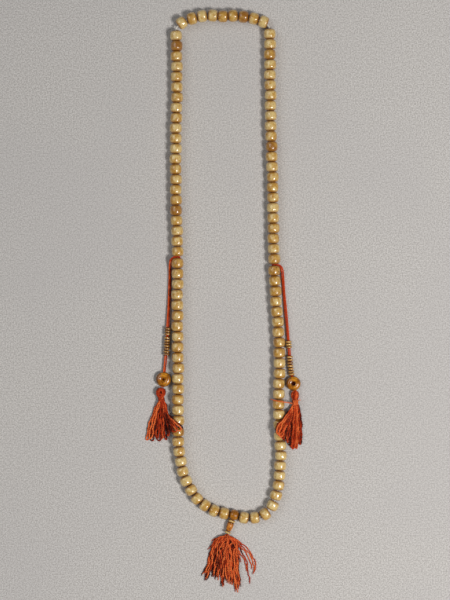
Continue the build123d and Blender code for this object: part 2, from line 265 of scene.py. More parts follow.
class Pile:
    """Gathers tubes and turned shapes into one mesh, each point with its own attribute values."""

    def __init__(self):
        self.points, self.faces, self.values, self.count = [], [], {}, 0

    def rings(self, rings, looped=False, **values):
        """Joins rings of points, given as (ring, side, xyz), with quads.

        When it is looped, the last ring meets the first; else both ends are closed.
        """
        number, sides = rings.shape[:2]
        at = self.count + np.arange(number * sides).reshape(number, sides)
        nearer, further = (at, np.roll(at, -1, axis=0)) if looped else (at[:-1], at[1:])
        beside = [np.roll(row, -1, axis=1) for row in (nearer, further)]
        quads = np.stack([nearer, *beside, further], axis=-1)
        self.faces += quads.reshape(-1, 4).tolist()
        if not looped:
            self.faces += [at[0][::-1].tolist(), at[-1].tolist()]
        self.points.append(rings.reshape(-1, 3))
        for name, value in values.items():
            shape = (number, sides) + ((3,) if name in ("grain", "fibre") else ())
            self.values.setdefault(name, []).append(np.broadcast_to(value, shape).reshape((-1,) + shape[2:]))
        self.count += number * sides

    def piece(self, name, material, body, slot, *nodes):
        """The mesh as a piece that rides on a body and stands for CAD nodes."""
        mesh = bpy.data.meshes.new(name)
        points = np.concatenate(self.points)
        points[:, 2] = np.maximum(points[:, 2], TABLE_GAP)
        mesh.from_pydata((points * MM).tolist(), [], self.faces)
        for key, parts in self.values.items():
            value = np.concatenate(parts).astype(np.float32)
            made = mesh.attributes.new(key, "FLOAT_VECTOR" if value.ndim == 2 else "FLOAT", "POINT")
            made.data.foreach_set("vector" if value.ndim == 2 else "value", value.ravel())
        mesh.polygons.foreach_set("use_smooth", np.ones(len(mesh.polygons), bool))
        mesh.materials.append(material)
        piece = added(name, mesh)
        if body:
            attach(piece, body)
        if nodes:
            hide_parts(*nodes)
        return piece


def unit(v):
    return v / np.maximum(np.linalg.norm(v, axis=-1, keepdims=True), 1e-12)


def lengths(line):
    """How long a line is up to each of its points."""
    return np.concatenate([[0], np.cumsum(np.linalg.norm(np.diff(line, axis=0), axis=1))])


def smooth_line(points):
    """The points of Blender's NURBS spline with these control points."""
    curve = bpy.data.curves.new("route", "CURVE")
    curve.dimensions = "3D"
    spline = curve.splines.new("NURBS")
    spline.points.add(len(points) - 1)
    for control, point in zip(spline.points, points):
        control.co = (*point, 1)
    spline.order_u, spline.use_endpoint_u, spline.resolution_u = 3, True, 24
    holder = bpy.data.objects.new("route", curve)
    mesh = bpy.data.meshes.new_from_object(holder)
    line = np.array([v.co for v in mesh.vertices], float)
    bpy.data.objects.remove(holder)
    bpy.data.curves.remove(curve)
    bpy.data.meshes.remove(mesh)
    return line


def spaced(line, step):
    """The line again, with points a step apart."""
    along = lengths(line)
    at = np.linspace(0, along[-1], max(3, round(along[-1] / step) + 1))
    return np.stack([np.interp(at, along, line[:, k]) for k in range(3)], axis=1)


def sides_of(line):
    """Two directions square to the line at each point, carried along it without twisting."""
    tangent = unit(np.gradient(line, axis=0))
    across = np.empty_like(line)
    guide = np.array([0, 0, 1.0]) if abs(tangent[0, 2]) < 0.9 else np.array([1.0, 0, 0])
    across[0] = unit(np.cross(tangent[0], guide))
    for k in range(1, len(line)):
        across[k] = unit(across[k - 1] - tangent[k] * (across[k - 1] @ tangent[k]))
    return across, np.cross(tangent, across)


def tube(pile, line, radius, sides, tone, seed):
    """A closed tube along a line. The radius may differ at each point."""
    across, over = sides_of(line)
    angle = np.arange(sides) * TURN / sides
    spoke = np.cos(angle)[None, :, None] * across[:, None] + np.sin(angle)[None, :, None] * over[:, None]
    size = np.broadcast_to(radius, len(line))[:, None, None]
    along = lengths(line)
    fibre = np.stack(np.broadcast_arrays(np.cos(angle)[None] + seed * 7.3, np.sin(angle)[None] + seed * 3.1,
                                         along[:, None] + seed * 11.7), axis=-1)
    pile.rings(line[:, None] + size * spoke, tone=tone, fibre=fibre)


def twisted(line, plies, offset, pitch, start=0.0):
    """The centre lines of plies that wind round a line. The offset may differ at each point."""
    across, over = sides_of(line)
    along = lengths(line)
    for k in range(plies):
        angle = (TURN * (along / pitch + k / plies) + start)[:, None]
        spoke = np.cos(angle) * across + np.sin(angle) * over
        yield line + np.broadcast_to(offset, len(line))[:, None] * spoke


# ---- beads
def solids(node):
    """The points of each separate solid in a CAD node, in the order they were made."""
    mesh = NODES[node].data
    co = np.empty(len(mesh.vertices) * 3, np.float32)
    mesh.vertices.foreach_get("co", co)
    co = co.reshape(-1, 3)
    _, welded = np.unique(np.round(co * 1e6).astype(np.int64), axis=0, return_inverse=True)
    welded = welded.ravel()
    edges = np.empty(len(mesh.edges) * 2, np.int32)
    mesh.edges.foreach_get("vertices", edges)
    a, b = welded[edges].reshape(-1, 2).T
    label, before = np.arange(welded.max() + 1), None
    while before is None or (label != before).any():
        before = label.copy()
        lowest = np.minimum(before[a], before[b])
        np.minimum.at(label, a, lowest)
        np.minimum.at(label, b, lowest)
        label = label[label]
    label = label[welded]
    _, first = np.unique(label, return_index=True)
    return [np.unique(np.round(co[label == label[k]] / MM, 3), axis=0) for k in sorted(first)]


def seat(points):
    """The middle, bore direction, half length and radius of a turned solid that is wider than long."""
    middle = points.mean(axis=0)
    angle = np.radians(np.arange(0, 180, 0.25))
    level = np.stack([np.cos(angle), np.sin(angle), np.zeros(len(angle))])
    axis = level[:, np.argmin(np.ptp((points - middle) @ level, axis=0))]
    along = (points - middle) @ axis
    radius = np.linalg.norm(points - middle - np.outer(along, axis), axis=1).max()
    return middle, axis, np.ptp(along) / 2, radius


def turned(pile, place, outline, seed, wobble, sides=44, **values):
    """A closed shape turned about its bore, from (radius, along) points that come back to their start."""
    middle, axis = place
    up = np.array([0, 0, 1.0])
    across = unit(np.cross(axis, up))
    over = np.cross(axis, across)
    radius, along = np.array(outline, float).T
    angle = np.arange(sides) * TURN / sides
    chance = np.random.default_rng(seed)
    shift = np.zeros((len(radius), sides))
    for waves in (2, 3, 5):
        shift += wobble / waves * 2 * chance.uniform(0.4, 1) * np.sin(
            waves * angle[None] + chance.uniform(0, TURN) + along[:, None] * chance.uniform(-0.4, 0.4))
    size = radius[:, None] + shift * (radius[:, None] > 0.6 * radius.max())
    x, y = size * np.cos(angle), size * np.sin(angle)
    rings = middle + x[..., None] * across + y[..., None] * over + along[:, None, None] * axis
    half = np.abs(along).max()
    grain = np.stack([x, y, np.broadcast_to(along[:, None], x.shape)], axis=-1) + chance.uniform(-60, 60, 3)
    pile.rings(rings, looped=True, grain=grain, face=(np.abs(along) / half)[:, None], **values)


def barrel(radius, half):
    """The outline of a counting bead: full sides, well-rounded ends and an eased bore."""
    flat, bore = 2.2, 0.85
    swing = np.radians(np.linspace(-90, 90, 25))
    r = flat + (radius - flat) * np.abs(np.cos(swing)) ** 0.90
    z = half * np.sign(swing) * np.abs(np.sin(swing)) ** 0.75
    top = [(1.7, half - 0.02), (1.2, half - 0.06), (1.0, half - 0.2), (bore, half - 0.5)]
    inside = [(bore, half * 0.4), (bore, -half * 0.4)]
    return [*zip(r, z), *top, *inside, *[(a, -b) for a, b in reversed(top)]]


DARK = {"left": {2: 0.95, 18: 0.85, 23: 0.62, 39: 0.66}, "right": {3: 0.5, 12: 0.85, 24: 0.6, 31: 0.5},
        "top": {5: 0.55, 6: 0.45, 7: 0.82}}   # the darker beads
POROUS = {"left": (25, 26), "right": (24, 25), "top": ()}


def bead_groups():
    """Each CAD node of beads, with its body and the place of its first bead along its side."""
    for name, body, side, first, step, starts in (
            ("top", "top_arch", "top", 1, 1, (1, 6)),
            ("left", "left_bead_row", "left", 1, 1, (1, 7, 13, 19, 23, 29, 35)),
            ("right", "right_bead_row", "right", 1, 1, (1, 7, 13, 19, 24, 30, 36)),
            ("bottom", "bottom_curve", "left", 1, 1, (39, 45)),
            ("bottom", "bottom_curve", "right", 3, -1, (50, 44))):
        for number, start in enumerate(starts, first):
            yield f"{name}_beads_{number}", body, side, start, step


def counting_beads(material):
    """All 108 beads, one piece for each CAD node. Returns where each side's beads are."""
    centres = {"left": [], "right": [], "top": []}
    for node, body, side, start, step in bead_groups():
        pile = Pile()
        for k, points in enumerate(solids(node)):
            number = start + step * k
            middle, axis, half, radius = seat(points)
            chance = np.random.default_rng(number * 3 + {"left": 0, "right": 1000, "top": 2000}[side])
            paler = 0.10 if body == "bottom_curve" else 0
            tone = DARK[side].get(number, chance.uniform(0.02, 0.44) - paler)
            pores = 1.0 if number in POROUS[side] else 0.35 * (chance.random() < 0.2)
            turned(pile, (middle, axis), barrel(radius, half), number * 7 + len(side), wobble=0.035,
                   tone=tone, pores=pores)
            centres[side].append(middle)
        pile.piece(f"{node}_turned", material, body, "bead_bone", node)
    return centres


# ---- main thread
THREAD_ROUTES = {
    "top": [(-33.6, 188.7), (-27.4, 193.7), (-20.0, 196.0), (-12.0, 197.2), (-1.0, 196.5), (10.0, 197.0),
            (20.0, 195.4), (30.3, 191.3), (31.1, 189.0)],
    "left": [(-33.6, 188.7), (-32.7, 152.0), (-33.9, 100.0), (-33.4, 62.0), (-32.1, 31.0), (-32.7, -5.0),
             (-32.0, -45.0), (-32.0, -86.1)],
    "right": [(31.1, 189.0), (31.4, 158.0), (32.0, 118.0), (33.5, 72.0), (33.8, 34.0), (35.2, 2.0),
              (38.2, -34.0), (37.3, -66.0), (37.8, -89.0)],
    "bottom": [(-32.0, -86.1), (-31.9, -97.0), (-30.9, -107.5), (-28.9, -117.5), (-25.4, -127.0),
               (-20.2, -135.2), (-13.0, -141.6), (-4.0, -145.7), (6.6, -147.6), (14.5, -149.7),
               (22.3, -149.5), (29.2, -146.2), (33.7, -140.4), (36.2, -132.8), (37.8, -122.5),
               (38.8, -111.0), (38.8, -100.0), (37.8, -89.0)],
}
THREAD_BODIES = {"top": "top_arch", "left": "left_strand", "right": "right_strand", "bottom": "bottom_curve"}
THREAD_HEIGHT = 4.2
THREAD_PLY, PLY_OFFSET, PLY_PITCH, PLY_SIDES = 0.285, 0.27, 2.6, 7   # radius, way off the middle, turn, sides


def three_ply(pile, line, tone=0.6):
    for k, ply in enumerate(twisted(line, 3, PLY_OFFSET, PLY_PITCH)):
        tube(pile, ply, THREAD_PLY, PLY_SIDES, tone, k)


def main_thread(material):
    """Stretches inside the beads, and a short join over each pivot: three are fixed where they lie, and the
    lower right one rides on the bottom curve.
    """
    lines = {name: spaced(smooth_line([(x, y, THREAD_HEIGHT) for x, y in route]), 0.5)
             for name, route in THREAD_ROUTES.items()}
    for name, line in lines.items():
        pile = Pile()
        three_ply(pile, line[6:-6])
        pile.piece(f"{name}_thread_plies", material, THREAD_BODIES[name], "thread", f"{name}_thread")
    joins = (("top_left", lines["top"][::-1], lines["left"], "top_arch", "left_strand"),
             ("top_right", lines["top"], lines["right"], "top_arch", "right_strand"),
             ("lower_left", lines["left"], lines["bottom"], "left_strand", "bottom_curve"))
    for name, before, after, first, second in joins:
        near, far = before[-9:-2], after[2:9]
        route = spaced(smooth_line([near[0], near[-1], far[0], far[-1]]), 0.3)
        pile = Pile()
        three_ply(pile, route, 0.75)
        piece = pile.piece(f"{name}_thread_join", material, None, "thread")
        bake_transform(piece)
    right, bottom = lines["right"], lines["bottom"]
    pile = Pile()
    three_ply(pile, spaced(smooth_line([right[-5], right[-2], bottom[-3], bottom[-9]]), 0.3), 0.75)
    pile.piece("lower_right_thread_join", material, "bottom_curve", "thread")
    return bottom


# ---- counter cords
CORD_ROUTES = {
    "left": [(-36.95, 28.4, 5.0), (-37.5, 26.0, 3.2), (-37.7, 21.5, 1.4), (-37.9, 8.5, 1.2),
             (-38.7, -8.0, 2.15), (-39.65, -25.0, 2.15), (-40.65, -42.3, 2.15), (-42.85, -59.3, 2.45)],
    "right": [(39.0, 23.5, 5.0), (40.0, 21.0, 3.2), (40.4, 16.0, 1.5), (41.5, 1.5, 1.3),
              (43.3, -16.0, 2.15), (44.6, -33.0, 2.15), (45.9, -49.0, 2.15), (48.75, -62.0, 2.45)],
}
CORD_STEP, CORD_PITCH = 0.35, 2.4
DISCS = 10
RING_AT = {"left": (-42.16, -54.0), "right": (47.61, -56.8)}
RING_HOLES = {"left": 0.00085, "right": 0.0014}   # radius of each ring's hole, in metres, which sizes the painted shade in and round it
LOOP_AT = {"left": (-32.1, 30.3), "right": (34.3, 25.0)}   # where each cord is looped on the main thread


def counter_cord(side, material):
    """A doubled two-ply string, its halves nearer here and further there, darkened inside the ring with
    painted shade.
    """
    line = smooth_line(CORD_ROUTES[side])
    fine = spaced(line, CORD_STEP)
    beside = unit(np.gradient(fine, axis=0)[:, [1, 0]] * [1, -1])
    wave = 23 if side == "left" else 31
    apart = 0.49 + 0.06 * np.cos(np.arange(len(fine)) * CORD_STEP * TURN / wave)
    # painted shade: the cord is darkened where it runs through the ring's bore
    inside = np.clip(2.6 - np.linalg.norm(fine[:, :2] - RING_AT[side], axis=1), 0, 1)[:, None]
    pile = Pile()
    tones = (0.26, 0.75) if side == "left" else (0.62, 0.4)   # the left cord's inner string is the darker: painted shadow of the beads beside it
    for half, (way, tone) in enumerate(zip((-1, 1), tones)):
        string = fine + np.column_stack([beside * (way * apart)[:, None], np.zeros(len(fine))])
        string[:, 2] = np.maximum(string[:, 2], 0.6)
        for k, ply in enumerate(twisted(string, 2, 0.24, CORD_PITCH, half)):
            tube(pile, ply, 0.33, PLY_SIDES, tone * (1 - inside) - 0.4 * inside, 3 + half * 2 + k)
    piece = pile.piece(f"{side}_cord_plies", material, f"{side}_counter_string", "counter_cord",
                       f"{side}_counter_cord")
    return piece, line


def cord_loop(side, material):
    """The doubled cord's loop round the main thread, with its two legs out between the beads."""
    sign = -1 if side == "left" else 1
    tx, ty = LOOP_AT[side]
    start, after = (np.array(p) for p in CORD_ROUTES[side][:2])
    further = start + unit(after - start) * 1.8
    out = unit((start - after)[[1, 0]]) * [sign, 1] * 0.5
    out = np.array([abs(out[0]) * sign, abs(out[1]), 0])
    high = [further + out, start + out, (tx + sign * 3.5, ty + 0.1, 6.0), (tx + sign * 1.8, ty + 0.25, 5.9),
            (tx, ty + 0.3, 5.55), (tx - sign * 1.4, ty + 0.1, 4.8)]
    low = [(tx - sign * 1.4, ty - 0.1, 3.5), (tx, ty - 0.3, 2.85), (tx + sign * 1.6, ty - 0.2, 3.1),
           (tx + sign * 3.4, ty - 0.1, 4.4), start - out, further - out]
    pile = Pile()
    for k, ply in enumerate(twisted(spaced(smooth_line(high + low), 0.25), 2, 0.21, CORD_PITCH)):
        tube(pile, ply, 0.31, PLY_SIDES, 0.42, k)
    piece = pile.piece(f"{side}_loop_plies", material, None, "counter_cord", f"{side}_loop")
    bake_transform(piece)


def counter_disc(side, number, material):
    """One thin counter disc, its edges rounded, which leans a little, where its CAD node is."""
    node = f"{side}_counter_{number:02d}"
    middle, axis, half, radius = seat(solids(node)[0])
    chance = np.random.default_rng(number * 5 + len(side))
    lean = unit(axis + np.array([*chance.uniform(-0.05, 0.05, 2), chance.uniform(-0.06, 0.06)]))
    bore, edge = 1.3, 0.62
    corner = np.radians([90, 68, 45, 22, 0])
    outer = [(radius - edge + edge * math.cos(a), half - edge + edge * math.sin(a)) for a in corner]
    top = [(bore + 0.12, half - 0.03), (bore, half - 0.2)]
    outline = [*[(r, -z) for r, z in outer], *reversed(outer), *top, *[(r, -z) for r, z in reversed(top)]]
    pile = Pile()
    # painted shadow: the left discs lie in the strand's shadow, so their tone is darker
    darker = 0.25 if side == "left" else 0.0
    turned(pile, (middle, lean), outline, number, wobble=0.03, sides=36,
           tone=chance.uniform(0.2, 0.7) + darker, pores=0.0)
    return pile.piece(f"{node}_turned", material, f"{side}_disc_{number:02d}", "counter_bone", node)


# ---- guru pendant
PENDANT_WAY = np.array([-4.7, -12.7, 0.0])   # from the guru bead to its tassel
PENDANT_SHAPES = {   # (radius, along) from the guru bead's end to the tassel's
    "collar_disc": [(0.9, -0.8), (1.8, -0.8), (2.14, -0.7), (2.36, -0.42), (2.42, 0), (2.38, 0.45),
                    (2.2, 0.76), (1.9, 0.85), (0.9, 0.85)],
    "foot_ring": [(0.9, -0.75), (1.75, -0.75), (2.1, -0.6), (2.26, -0.2), (2.26, 0.15), (2.1, 0.5),
                  (1.75, 0.66), (0.95, 0.35)],
    "tower_bead": [(0.9, -3.2), (1.7, -3.2), (2.05, -3.05), (2.3, -2.7), (2.4, -2.3), (2.2, -2.1),
                   (2.2, -1.95), (2.42, -1.7), (2.4, -0.9), (2.3, 0.1), (2.12, 1.1), (1.95, 2.0),
                   (1.84, 2.4), (1.62, 2.52), (1.62, 2.64), (1.78, 2.78), (1.74, 3.05), (1.5, 3.2),
                   (0.9, 3.2)],
}


def pendant(materials):
    """Collar, tower and foot, with turned grooves, each where its CAD node is."""
    axis = unit(PENDANT_WAY)
    for node, outline in PENDANT_SHAPES.items():
        low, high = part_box(node)
        points = solids(node)[0]
        along = points @ axis
        centre = points.mean(axis=0)
        middle = centre + axis * ((along.min() + along.max()) / 2 - centre @ axis)
        middle[2] = (low[2] + high[2]) / 2 / MM
        pile = Pile()
        turned(pile, (middle, axis), outline, 5, wobble=0.02, sides=48, pores=0.0,
               tone=0.6 if node == "tower_bead" else 0.3)
        slot = "tower_bone" if node == "tower_bead" else "pale_disc"
        pile.piece(f"{node}_turned", materials[node], "guru_pendant", slot, node)


def guru_bead(material, thread):
    """The round bead in the middle of the curve, drilled for the thread, where its CAD node is."""
    low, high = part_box("guru_bead")
    middle = np.array((low + high) / 2) / MM
    radius, bore = (high.z - low.z) / 2 / MM, 1.0
    nearest = np.argmin(np.linalg.norm(thread - middle, axis=1))
    axis = unit((thread[nearest + 3] - thread[nearest - 3]) * [1, 1, 0])
    swing = np.linspace(-1, 1, 31) * math.acos(bore / radius)
    outline = [*zip(radius * np.cos(swing) ** 0.85, radius * np.sign(swing) * np.abs(np.sin(swing)) ** 0.9),
               (bore, 1.5), (bore, -1.5)]
    pile = Pile()
    turned(pile, (middle, axis), outline, 3, wobble=0.03, sides=56, tone=0.35, pores=0.2)
    pile.piece("guru_bead_turned", material, "bottom_curve", "guru_bone", "guru_bead")


def pendant_cord(material):
    """The two strings that hold the tassel, seen between the collar, the tower and the foot."""
    low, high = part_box("pendant_cord")
    line = spaced(np.array([(high.x, high.y, high.z), (low.x, low.y, low.z)]) / MM, 0.4)
    line[:, 2] = (low.z + high.z) / 2 / MM
    pile = Pile()
    for k, ply in enumerate(twisted(line[:-1], 2, PLY_OFFSET, PLY_PITCH)):
        tube(pile, ply, 0.3, PLY_SIDES, 0.3, k)
    pile.piece("pendant_cord_plies", material, "guru_pendant", "counter_cord", "pendant_cord")


# ---- tassels
class Heap:
    """The height of what lies on the table, on a fine grid, so that yarns can be laid one over another."""

    CELL, CLOSE, LOWEST = 0.2, 1.1, 0.56

    def __init__(self, low, high, settle, rows=()):
        self.low, self.settle = np.array(low, float), settle
        size = np.ceil((np.array(high) - low) / self.CELL).astype(int) + 1
        place = self.low + np.stack(np.meshgrid(*map(np.arange, size), indexing="ij"), axis=-1) * self.CELL
        self.top = np.zeros(size)
        for start, end, radius in rows:
            line = (end - start)[:2]
            share = np.clip((place - start[:2]) @ line / (line @ line), 0, 1)
            out = ((place - start[:2] - share[..., None] * line) ** 2).sum(axis=-1)
            crest = start[2] + np.sqrt(np.maximum(radius ** 2 - out, 0))
            self.top = np.where(out < radius ** 2, np.maximum(self.top, crest), self.top)
        self.ground = self.top.copy()

    def square(self, reach):
        """The steps from one cell to all those of a square round it."""
        side = np.arange(-int(reach / self.CELL), int(reach / self.CELL) + 1)
        return np.stack(np.meshgrid(side, side, indexing="ij"), axis=-1).reshape(-1, 2)

    def cells(self, line, steps):
        """The cells that are these steps away from each point of a line."""
        cell = np.round((line[:, :2] - self.low) / self.CELL).astype(int)[:, None] + steps
        cell = np.clip(cell, 0, np.array(self.top.shape) - 1)
        return cell[..., 0], cell[..., 1]

    def lay(self, line, radius, start, bound):
        """The line with heights, laid over what is there, settling more the deeper the heap is already.

        It starts at a height and is bound flat at first, and at its end too when bound is 2.
        """
        step = self.square(radius)
        room = radius ** 2 - ((step * self.CELL) ** 2).sum(axis=1)
        step, lift = step[room > 0], np.sqrt(room[room > 0])
        where = self.cells(line, step)
        ground = (self.ground[where] + lift).max(axis=1)
        piled = (self.top[where] + lift).max(axis=1) - ground
        touch = ground + self.settle * (1 - np.exp(-piled / self.settle))
        height = touch.copy()
        fall = 0.9 * np.linalg.norm(np.diff(line, axis=0), axis=1)
        for k in range(1, len(line)):
            height[k] = max(height[k], height[k - 1] - fall[k - 1])
        for k in range(len(line) - 2, -1, -1):
            height[k] = max(height[k], height[k + 1] - fall[k])
        for _ in range(10):
            height[1:-1] = (height[:-2] + 2 * height[1:-1] + height[2:]) / 4
            height = np.maximum(height, touch - 0.25)
        along = lengths(line)
        for way in ((along, along[-1] - along) if bound == 2 else (along,)):
            free = np.clip(way / 6, 0, 1)
            free = free * free * (3 - 2 * free)
            height = start * (1 - free) + np.minimum(height, 3.6 + way * 0.9) * free
        np.maximum.at(self.top, where, height[:, None] + lift)
        return np.column_stack([line, np.maximum(height, self.LOWEST)])

    def sunk(self, line):
        """How far each point of a laid line is below the highest of what lies close round it."""
        return self.top[self.cells(line, self.square(self.CLOSE))].max(axis=1) - line[:, 2]


def between(points, share):
    """Points at these shares of a smooth line through the given points."""
    points = np.array(points, float)
    at = np.linspace(0, 1, len(points))
    fine = np.linspace(0, 1, 200)
    line = np.stack([np.interp(fine, at, points[:, k]) for k in range(points.shape[1])], axis=1)
    for _ in range(30):
        line[1:-1] = (line[:-2] + 2 * line[1:-1] + line[2:]) / 4
    return np.stack([np.interp(share, fine, line[:, k]) for k in range(points.shape[1])], axis=1)


YARN_POINTS, YARN_STEP = 60, 0.45


def even(line, step):
    """The line again, in plan, with points a step apart."""
    return spaced(np.column_stack([line, np.zeros(len(line))]), step)[:, :2]


def waved(line, chance, size):
    """A yarn's way in plan with the waves that its twist left in it, none at its start."""
    line = even(line, YARN_STEP)
    along = np.arange(len(line)) * YARN_STEP
    ease = np.clip(along / 6, 0, 1)
    across = unit(np.gradient(line, axis=0))[:, ::-1] * [1, -1]
    for length in (3.3, 5.6, 11.0):
        length *= chance.uniform(0.85, 1.2)
        wave = ease * size * length / 5 * np.sin(along / length * TURN + chance.uniform(0, TURN))
        line = line + wave[:, None] * across
    return line


def shaded(tone, sunk, share):
    """A yarn's tone along its line, with painted shade: darker where it lies below its neighbours."""
    return np.clip(tone - share * np.clip(sunk - 0.55, 0, 1.6), 0, 1)[:, None]


def curved(route):
    """A yarn's line on the smooth curve with these control points."""
    return spaced(smooth_line(route), YARN_STEP)


def yarn(pile, line, chance, tone, thick=1.0, frayed=False):
    """Two plies twisted round a yarn's line. A cut end frays: its plies part and thin out."""
    length = len(line)
    offset, radius = np.full(length, 0.27 * thick), np.full(length, 0.30 * thick)
    if frayed:
        tail = np.clip((np.arange(length) - length + 8) / 8, 0, 1)
        offset = offset * (1 + tail * chance.uniform(0.2, 1.3))
        radius = radius * (1 - 0.6 * tail)
    pitch = chance.uniform(2.7, 3.4)
    for k, ply in enumerate(twisted(line, 2, offset, pitch, chance.uniform(0, TURN))):
        ply[:, 2] = np.maximum(ply[:, 2], radius)
        tube(pile, ply, radius, PLY_SIDES, np.clip(tone + 0.08 * k, 0, 1), chance.uniform(0, 9))


def fan(edges, start, end, depth):
    """A yarn's way down a tassel, from one share of its width to another, as far as a share of its length."""
    way = np.linspace(0, depth, YARN_POINTS)
    share = (start + (end - start) * (way / depth) ** 1.3)[:, None]
    return between(edges[0], way) * (1 - share) + between(edges[1], way) * share


def parted(way, hollows):
    """A yarn's way, pushed aside by the hollows (x, y, radius) between the locks."""
    for x, y, radius in hollows:
        off = way - (x, y)
        out = np.linalg.norm(off, axis=1, keepdims=True)
        way = (x, y) + off / out * np.sqrt(out ** 2 + radius ** 2 * np.exp(-(out / radius) ** 2))
    return way


def looped(edges, down, back, depth):
    """A yarn that goes down a tassel at one share of its width, turns at the foot and comes up at another."""
    there = fan(edges, down, down, depth)
    here = fan(edges, back, back, depth)[::-1]
    width = np.linalg.norm(there[-1] - here[0])
    foot = (there[-1] + here[0]) / 2 + unit(there[-1] - there[-6]) * width * 0.55
    return np.vstack([there, foot, here])


# Outlines run from the tie to the foot, the left edge first. A lock is its share of the width at the tie and
# at the foot, its share of the length and its number of yarns; a loop, two shares of the width and a length.
GURU_EDGES = (
    [(1.0, -161.6), (-3.2, -162.8), (-6.6, -165.4), (-8.8, -169.8), (-10.0, -175.5), (-11.6, -182.0),
     (-14.2, -188.4), (-16.8, -194.6)],
    [(3.4, -162.4), (6.4, -163.4), (8.4, -166.4), (9.2, -171.0), (9.3, -178.0), (9.9, -186.0),
     (10.8, -194.5), (11.6, -203.0)],
)
GURU_LOCKS = [
    (0.03, 0.00, 0.90, 4), (0.13, 0.10, 0.97, 5), (0.24, 0.25, 0.88, 5), (0.34, 0.36, 0.91, 4),
    (0.42, 0.44, 0.86, 3), (0.46, 0.53, 0.98, 5), (0.54, 0.61, 0.90, 4), (0.60, 0.68, 0.93, 4),
    (0.68, 0.77, 0.92, 4), (0.90, 0.87, 0.99, 6), (0.97, 0.97, 0.95, 5), (0.86, 0.82, 0.94, 2),
    (0.88, 0.30, 0.80, 1), (0.16, 0.46, 0.84, 1),
]
GURU_HOLLOWS = [(4.2, -166.2, 2.3), (6.1, -168.7, 2.4), (-2.4, -170.6, 1.3), (0.4, -166.2, 1.0),
                (7.4, -171.8, 1.2)]
GURU_RIGHT = [
    [(3.9, -163.6), (6.9, -167.6), (9.2, -172.8), (10.6, -177.2), (11.7, -180.6)],
    [(4.0, -163.5), (7.2, -167.0), (10.0, -172.2), (12.6, -177.0), (14.6, -182.0), (15.8, -187.0)],
    [(4.2, -163.4), (7.6, -166.4), (11.0, -171.3), (14.4, -177.5), (15.9, -183.0), (16.7, -189.5),
     (17.6, -195.6)],
    [(4.2, -163.3), (7.9, -165.8), (12.0, -170.5), (16.0, -176.0), (18.2, -181.0), (18.8, -185.5)],
    [(4.3, -163.2), (8.4, -165.3), (13.0, -169.8), (17.3, -175.2), (20.0, -180.0), (20.6, -184.0),
     (19.6, -188.2)],
    [(4.4, -163.0), (8.6, -164.6), (13.5, -168.6), (18.0, -174.0), (20.9, -178.5), (21.4, -182.5),
     (20.9, -186.0), (19.8, -189.0)],
]
GURU_LEFT = [
    [(0.4, -162.2), (-3.6, -162.9), (-6.8, -164.0), (-9.2, -165.8)],
    [(0.2, -162.3), (-4.2, -163.8), (-7.6, -166.2), (-9.4, -168.8)],
    [(0.0, -162.4), (-4.6, -165.4), (-8.6, -168.4), (-11.9, -171.8)],
    [(-0.2, -162.6), (-4.6, -166.6), (-8.0, -170.4), (-10.4, -174.2)],
]
GURU_FOOT, GURU_BASE, GURU_SETTLE = (1.9, -160.2, 2.6), 21, 8.0   # the foot ring's end; dark yarns below all, their darkness painted shade under the locks


def guru_tassel(material):
    """Cut yarns that leave the foot ring together, gather in pointed locks and part to the right."""
    chance = np.random.default_rng(41)
    heap = Heap((-24, -208), (28, -158), GURU_SETTLE)
    foot, out = np.array(GURU_FOOT), unit(PENDANT_WAY)
    # the base yarns get near-black tones: painted shade under the locks
    ways = [(fan(GURU_EDGES, (k + 0.5) / GURU_BASE, (k + chance.uniform(0.2, 0.8)) / GURU_BASE,
                 chance.uniform(0.72, 0.86)),
             chance.uniform(0.0, 0.2), 0.95) for k in range(GURU_BASE)]
    for start, end, depth, count in GURU_LOCKS:
        for k in range(count):
            away = (k + 0.5) / count - 0.5
            way = fan(GURU_EDGES, start + away * 0.12, end + away * 0.075, depth * chance.uniform(0.93, 1.01))
            ways.append((parted(way, GURU_HOLLOWS),
                         (0.2, 0.9, 0.5, 1.0)[k % 4] + chance.uniform(-0.15, 0.15), 0.8))
    share = np.linspace(0, 1, YARN_POINTS)
    ways += [(between(way, share), chance.uniform(0.25, 0.9), 0.85) for way in GURU_RIGHT]
    ways += [(between(way, share), chance.uniform(0.3, 0.8), 0.7) for way in GURU_LEFT]
    lines = [heap.lay(waved(way, chance, 0.13), 0.5 * thick, 1.2 + 2.6 * number / len(ways), 1)
             for number, (way, _, thick) in enumerate(ways)]
    pile = Pile()
    for line, (_, tone, thick) in zip(lines, ways):
        root = foot + out * 0.75 + (line[0] - foot) * [0.3, 0.05, 0.4]
        line = spaced(np.vstack([root, line]), YARN_STEP)
        yarn(pile, line, chance, shaded(tone, heap.sunk(line), 0.2), thick, frayed=True)
    pile.piece("guru_tassel_yarns", material, "guru_tassel_body", "tassel_yarn", "guru_tassel")


